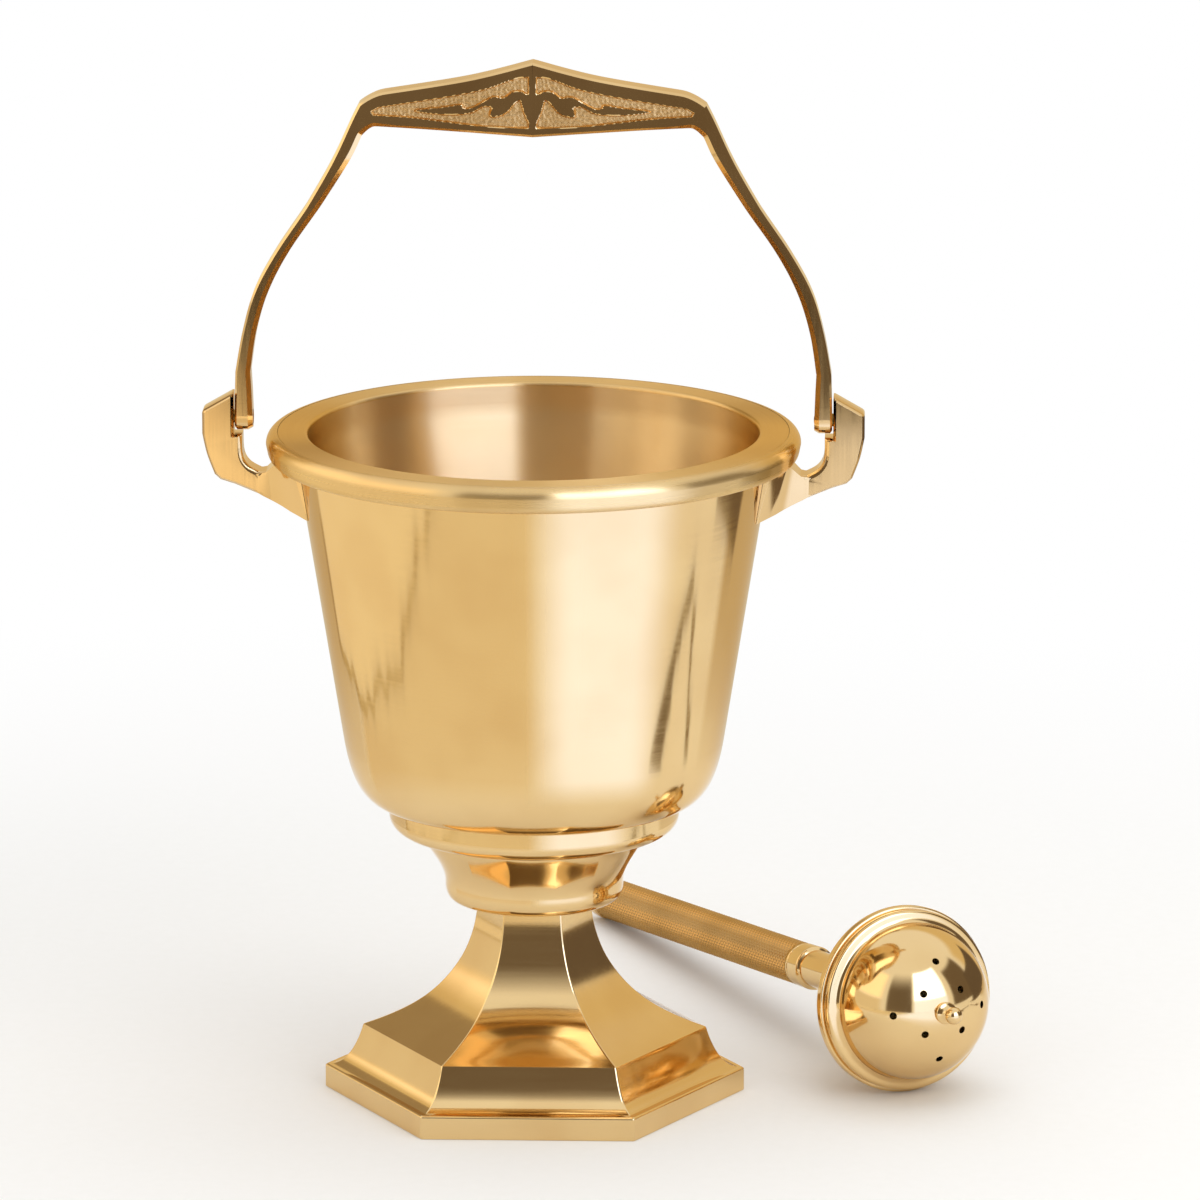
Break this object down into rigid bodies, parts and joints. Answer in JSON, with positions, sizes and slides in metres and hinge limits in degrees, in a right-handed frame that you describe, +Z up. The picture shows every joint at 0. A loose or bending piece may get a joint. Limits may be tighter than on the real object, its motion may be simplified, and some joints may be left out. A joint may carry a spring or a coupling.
{
  "type": "holy water pot",
  "caption": "Footed holy water pot of turned brass with a swinging bail handle, a lift-out liner and a loose sprinkler with a perforated round head.",
  "frame": {"origin": "on the pot's own axis, at the floor under its foot", "axes": "+Z up along the pot's axis, +X towards the right lug of the bail, -Y towards the front flat of the six-sided foot"},
  "size_m": [0.2074, 0.2439, 0.2773],
  "materials": {
    "polished_brass": "turned and polished, lacquered",
    "cast_brass": "cast, filed and polished, lacquered",
    "satin_brass": "lathe-brushed satin",
    "knurled_brass": "fine diamond knurl",
    "plain_brass": "as turned, dull",
    "felt": "pressed wool felt",
    "sponge": "open-cell sponge"
  },
  "bodies": {
    "pot": {"bowl": "polished_brass", "ring_moulding": "polished_brass", "collar": "polished_brass", "foot": "polished_brass", "foot_pad": "felt", "tie_rod": "plain_brass", "foot_washer": "plain_brass", "foot_nut": "plain_brass", "bowl_washer": "plain_brass", "bowl_nut": "plain_brass", "right_lug": "cast_brass", "right_pivot_pin": "plain_brass", "left_lug": "cast_brass", "left_pivot_pin": "plain_brass", "right_lug_front_screw": "plain_brass", "right_lug_rear_screw": "plain_brass", "left_lug_front_screw": "plain_brass", "left_lug_rear_screw": "plain_brass"},
    "bail": {"bail": "cast_brass"},
    "liner": {"liner": "satin_brass"},
    "sprinkler": {"sprinkler_cup": "polished_brass", "sprinkler_sponge": "sponge", "sprinkler_screw": "plain_brass", "sprinkler_ferrule": "polished_brass", "sprinkler_handle": "knurled_brass", "sprinkler_end_cap": "polished_brass"},
    "sprinkler_head": {"sprinkler_dome": "polished_brass", "sprinkler_finial": "polished_brass"}
  },
  "joints": [
    {"name": "bail_swing", "type": "hinge", "parent": "pot", "child": "bail", "pos_m": [0, 0, 0.1825], "axis": [1, 0, 0], "range_deg": [-95, 95]},
    {"name": "liner_lift", "type": "slide", "parent": "pot", "child": "liner", "axis": [0, 0, 1], "range_m": [0, 0.036]},
    {"name": "sprinkler_lift", "type": "slide", "parent": "pot", "child": "sprinkler", "axis": [0.7071, 0, 0.7071], "range_m": [0, 0.12]},
    {"name": "dome_unscrew", "type": "slide", "parent": "sprinkler", "child": "sprinkler_head", "axis": [0.4455, -0.8896, 0.1003], "range_m": [0, 0.03]}
  ]
}
